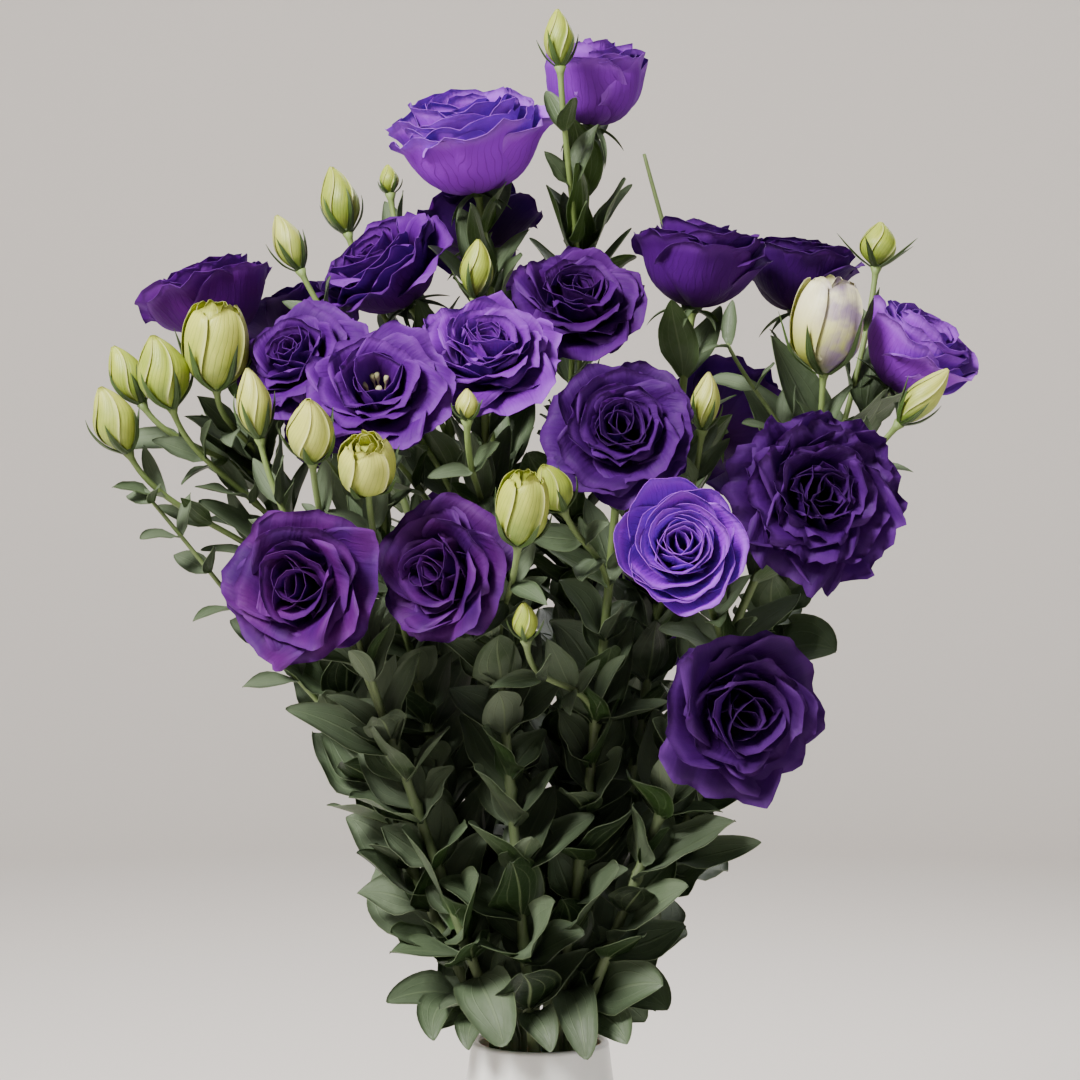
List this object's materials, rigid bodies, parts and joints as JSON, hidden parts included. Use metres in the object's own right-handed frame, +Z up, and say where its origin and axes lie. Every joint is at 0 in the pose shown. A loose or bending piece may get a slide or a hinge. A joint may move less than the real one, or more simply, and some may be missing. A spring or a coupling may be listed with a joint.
{
  "type": "lisianthus bouquet in a vase",
  "caption": "Full bunch of deep-violet double lisianthus with pale green buds and grey-green leaves, standing in a plain white vase with water.",
  "frame": {"origin": "centre of the vase's flat foot, on the surface it stands on", "axes": "+Z up through the vase, -Y towards the front of the bunch as pictured, +X to the right of that view"},
  "size_m": [0.3815, 0.2768, 0.662],
  "materials": {
    "porcelain": "smooth satin white glaze, a little warm",
    "water": "clear, slightly cool",
    "foliage": "glaucous grey-green, waxy bloom, paler midrib and veins",
    "petals": "velvety deep violet, lavender where the light passes through, fine veins",
    "bud_skin": "pale yellow-green, spirally folded, some flushed violet or cream at the tip"
  },
  "bodies": {
    "root": {"vase": "porcelain", "water": "water", "stem_01": "foliage", "stem_02": "foliage", "stem_03": "foliage", "stem_04": "foliage", "stem_05": "foliage", "stem_06": "foliage", "stem_07": "foliage", "stem_08": "foliage", "stem_09": "foliage", "stem_10": "foliage", "stem_11": "foliage", "stem_12": "foliage", "stem_13": "foliage", "bloom_01": "petals", "bloom_02": "petals", "bloom_03": "petals", "bloom_04": "petals", "bloom_05": "petals", "bloom_06": "petals", "bloom_07": "petals", "bloom_08": "petals", "bloom_09": "petals", "bloom_10": "petals", "bloom_11": "petals", "bloom_12": "petals", "bloom_13": "petals", "bloom_14": "petals", "bloom_15": "petals", "bloom_16": "petals", "bloom_17": "petals", "bloom_18": "petals", "bloom_19": "petals", "bloom_20": "petals", "bloom_21": "petals", "bloom_22": "petals", "bloom_23": "petals", "bloom_24": "petals", "bud_01": "bud_skin", "bud_02": "bud_skin", "bud_03": "bud_skin", "bud_04": "bud_skin", "bud_05": "bud_skin", "bud_06": "bud_skin", "bud_07": "bud_skin", "bud_08": "bud_skin", "bud_09": "bud_skin", "bud_10": "bud_skin", "bud_11": "bud_skin", "bud_12": "bud_skin", "bud_13": "bud_skin", "bud_14": "bud_skin", "bud_15": "bud_skin", "bud_16": "bud_skin", "bud_17": "bud_skin", "bud_18": "bud_skin", "bud_19": "bud_skin", "bud_20": "bud_skin", "bud_21": "bud_skin"}
  },
  "joints": []
}
